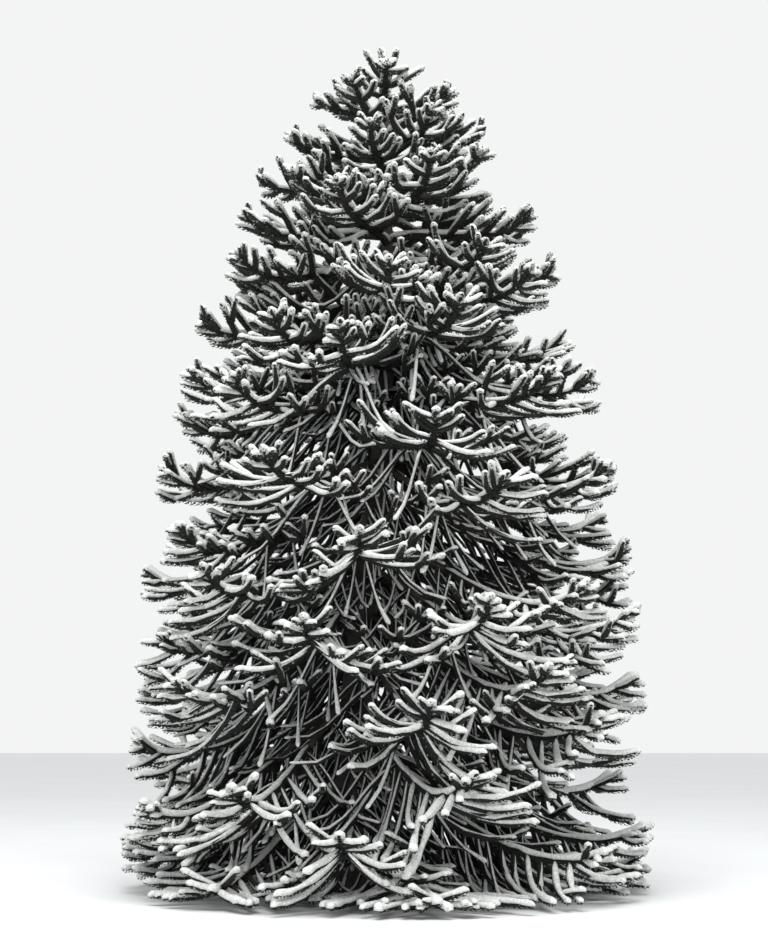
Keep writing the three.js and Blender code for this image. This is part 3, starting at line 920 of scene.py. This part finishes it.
def trunk_radius(height, angle):
    taper = np.clip(1 - height / TRUNK_TOP, 0, 1) ** TRUNK_TAPER
    flare = np.exp(-height / FLARE_HEIGHT)
    ridge = 1 + RIDGE_SHARE * flare * np.cos(ROOT_RIDGES * angle)
    return (TRUNK_TIP_RADIUS + (TRUNK_FOOT_RADIUS - TRUNK_TIP_RADIUS) * taper + FLARE_WIDTH * flare) * ridge


def bark_relief(height, angle):
    """Rings and plates, from waves up the trunk and round it that bend one another."""
    rings = BARK_RINGS * np.sin(height * 42 + 1.3 * np.sin(3 * angle + height * 2)) ** 3
    plates = np.sin(9 * angle + 5 * np.sin(height * 6)) * np.sin(height * 27 + 2 * np.sin(angle * 4))
    return BARK_DEPTH * (rings + BARK_PLATES * plates)


heights = np.linspace(0, TRUNK_TOP, TRUNK_RINGS)[:, None]
angles = np.linspace(0, 2 * math.pi, TRUNK_SIDES, endpoint=False)[None, :]
radii = trunk_radius(heights, angles) + bark_relief(heights, angles) * np.clip(heights / RELIEF_FADE, 0, 1)
middles = np.array([trunk_axis(height) for height in heights[:, 0]])[:, None, :]
spokes = np.stack([radii * np.cos(angles), radii * np.sin(angles), np.zeros_like(radii)], axis=-1)
faces = tube_faces([TRUNK_RINGS], TRUNK_SIDES)
trunk = make_piece("trunk_in_bark", middles + spokes, faces, [trunk_bark], smooth=True)
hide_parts("trunk")

# %% [markdown]
# ## Bare boughs
#
# The older boughs have shed their leaves near the trunk, and show dark bark ringed by leaf scars. They are
# tubes as well, and the scars are waves in their width.

# %% Build the bare boughs
BOUGH_RADIUS = (0.042, 0.03)
BOUGH_SIDES = 8
BOUGH_RINGS = 22
SCAR_RINGS = (0.07, 160)  # share of the width, and how closely the rings follow one another
SCAR_SPIRALS = (0.05, 70)


def bare_bough(bough):
    """Rings of the bare part of a bough."""
    shares = np.linspace(0, BARE_SHARE, BOUGH_RINGS)
    points, ahead = along(bough.curve, shares), ahead_of(bough.curve, shares)
    beside = np.cross((0, 0, 1), ahead)
    beside /= np.linalg.norm(beside, axis=1, keepdims=True)
    over = np.cross(ahead, beside)
    angle = np.linspace(0, 2 * math.pi, BOUGH_SIDES, endpoint=False)[None, :]
    rings = SCAR_RINGS[0] * np.sin(shares * SCAR_RINGS[1])[:, None]
    scars = rings + SCAR_SPIRALS[0] * np.sin(3 * angle + shares[:, None] * SCAR_SPIRALS[1])
    radius = lerp(*BOUGH_RADIUS, shares / BARE_SHARE)[:, None] * (1 + scars)
    out = np.cos(angle)[..., None] * beside[:, None] + np.sin(angle)[..., None] * over[:, None]
    return points[:, None] + out * radius[..., None]


bare = [bough for bough in boughs if bough.bare]
limbs = [bare_bough(bough) for bough in bare]
faces = tube_faces([len(limb) for limb in limbs], BOUGH_SIDES)
piece = make_piece("bare_boughs", np.concatenate(limbs), faces, [bough_bark], smooth=True)
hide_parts(*(f"bough_{bough.number}" for bough in bare if bough.number))

# %% [markdown]
# ## Leaves of a tier
#
# A single mesh of a million faces is awkward to handle, so the crown is made in tiers. The greens are dealt
# out by spray: a bough and all that grows on it share one green, as on the tree.

# %% Leaves of a tier
LEAF_FACES = ((0, 1, 2), (0, 2, 3))


def green_of(spray):
    """The place in LEAF_GREENS of a spray's green."""
    half = len(LEAF_GREENS) / 2
    return int(scatter(spray, 3) * half + half)


def leaves_piece(tier, members):
    blades, dealt = [], []
    for count, shoot in members:
        corners, frosted = leaves_of(shoot, count)
        blades.append(corners)
        finish = np.where(frosted, len(LEAF_GREENS), green_of(shoot.spray))
        dealt.append(np.repeat(finish, len(LEAF_FACES)))
    blades = np.concatenate(blades)
    first = 4 * np.arange(len(blades))[:, None, None]
    faces = (first + np.array(LEAF_FACES)).reshape(-1, 3)
    finishes = [*LEAF_GREENS, frosted_leaf]
    return make_piece(f"leaves_tier_{tier}", blades, faces, finishes, np.concatenate(dealt))


greens = np.bincount([green_of(bough.counted) for bough in boughs])
print("sprays in each green:", greens)

# %% [markdown]
# ## Cores and snow of a tier
#
# Each tier has one mesh of cores and one of snow besides its leaves. Thin snow and thick are dealt out by
# shoot, the thin high up. A shoot's own scatter blurs the height at which one gives way to the other.

# %% Cores and snow of a tier
THIN_SNOW_WHORL = 7  # above it the snow is a thin crust, give or take the scatter
THIN_SNOW_SCATTER = 3


def cores_piece(tier, members):
    cores = [core_of(shoot) for _, shoot in members]
    faces = tube_faces([len(core) for core in cores], CORE_SIDES)
    return make_piece(f"cores_tier_{tier}", np.concatenate(cores), faces, [green_core])


def is_thin(count, shoot):
    return shoot.whorl + THIN_SNOW_SCATTER * scatter(count, 11) < THIN_SNOW_WHORL


def snow_piece(tier, members):
    caps = [snow_of(shoot, count) for count, shoot in members]
    sides = len(SNOW_SECTION)
    faces = tube_faces([len(cap) for cap in caps], sides)
    thin = [is_thin(count, shoot) for count, shoot in members]
    dealt = np.repeat(thin, [len(tube_faces([len(cap)], sides)) for cap in caps])
    finishes = [thick_snow, thin_snow]
    return make_piece(f"snow_tier_{tier}", np.concatenate(caps), faces, finishes, dealt, smooth=True)


print(sum(is_thin(count, shoot) for count, shoot in enumerate(shoots)), "shoots under thin snow")

# %% [markdown]
# ## Dressing the tree
#
# Each tier takes the shoots of a few whorls, with fewer whorls where the shoots are many. Its leaves stand
# in for the solid sprays of those whorls. A shoot's place in the list seeds its own random numbers, so it
# looks the same in whatever tier it stands.

# %% Dress the tiers
TIERS = ((0, 7), (8, 11), (12, 14), (15, 17), (18, 19), (20, 21))  # first and last whorl of each

for tier, (highest, lowest) in enumerate(TIERS, 1):
    members = [(count, shoot) for count, shoot in enumerate(shoots) if highest <= shoot.whorl <= lowest]
    leaves = leaves_piece(tier, members)
    in_tier = [bough for bough in boughs if highest <= bough.whorl <= lowest]
    sprays = [f"spray_{bough.number}" for bough in in_tier if bough.number]
    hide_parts(*sprays, *(["leader_tuft"] if highest == 0 else []))
    cores = cores_piece(tier, members)
    snow_piece(tier, members)

# %% [markdown]
# ## Floor
#
# The tree stands on a plain pale floor, so wide that its edge lies almost on the horizon. It is laid 2 mm
# below the cut, because two faces in one plane would flicker.

# %% Lay the floor
FLOOR_REACH = 150
FLOOR_DROP = 0.002

floor_mesh = bpy.data.meshes.new("pale_floor")
corners = [(x * FLOOR_REACH, y * FLOOR_REACH, 0) for x, y in ((-1, -1), (1, -1), (1, 1), (-1, 1))]
floor_mesh.from_pydata(corners, [], [(0, 1, 2, 3)])
floor = bpy.data.objects.new("pale_floor", floor_mesh)
floor.location.z = -FLOOR_DROP
bpy.context.collection.objects.link(floor)
floor_mesh.materials.append(mottled("pale_floor", (0.76, 0.77, 0.78), (0.8, 0.81, 0.82), 0.3, 0.9, 0.02, 3))
print(f"floor: {2 * FLOOR_REACH} m across")

# %% [markdown]
# ## Light
#
# Under an overcast sky light comes evenly from all sides, and the world's background gives that. One large
# soft light from above keeps the tops of the snow a little brighter than its sides. The Standard view keeps
# white snow white, where Blender's default would grey it.

# %% Light the tree
SKY_COLOUR = (0.925, 0.937, 0.93, 1)
SKY_STRENGTH = 0.97
SOFT_LIGHT_POWER = 3100  # watts
SOFT_LIGHT_SIZE = 14
SOFT_LIGHT_PLACE = (0, -8, 17)
SOFT_LIGHT_TILT = 27  # degrees towards the tree

world = bpy.data.worlds.new("overcast")
world.use_nodes = True
background = world.node_tree.nodes["Background"]
background.inputs["Color"].default_value = SKY_COLOUR
background.inputs["Strength"].default_value = SKY_STRENGTH
bpy.context.scene.world = world

soft = bpy.data.lights.new("soft_sky", "AREA")
soft.energy = SOFT_LIGHT_POWER
soft.shape = "DISK"
soft.size = SOFT_LIGHT_SIZE
sky_light = bpy.data.objects.new("soft_sky", soft)
sky_light.location = SOFT_LIGHT_PLACE
sky_light.rotation_euler = (math.radians(SOFT_LIGHT_TILT), 0, 0)
bpy.context.collection.objects.link(sky_light)
bpy.context.scene.view_settings.view_transform = "Standard"
print(f"light: sky at {SKY_STRENGTH}, one soft light of {SOFT_LIGHT_POWER} W")
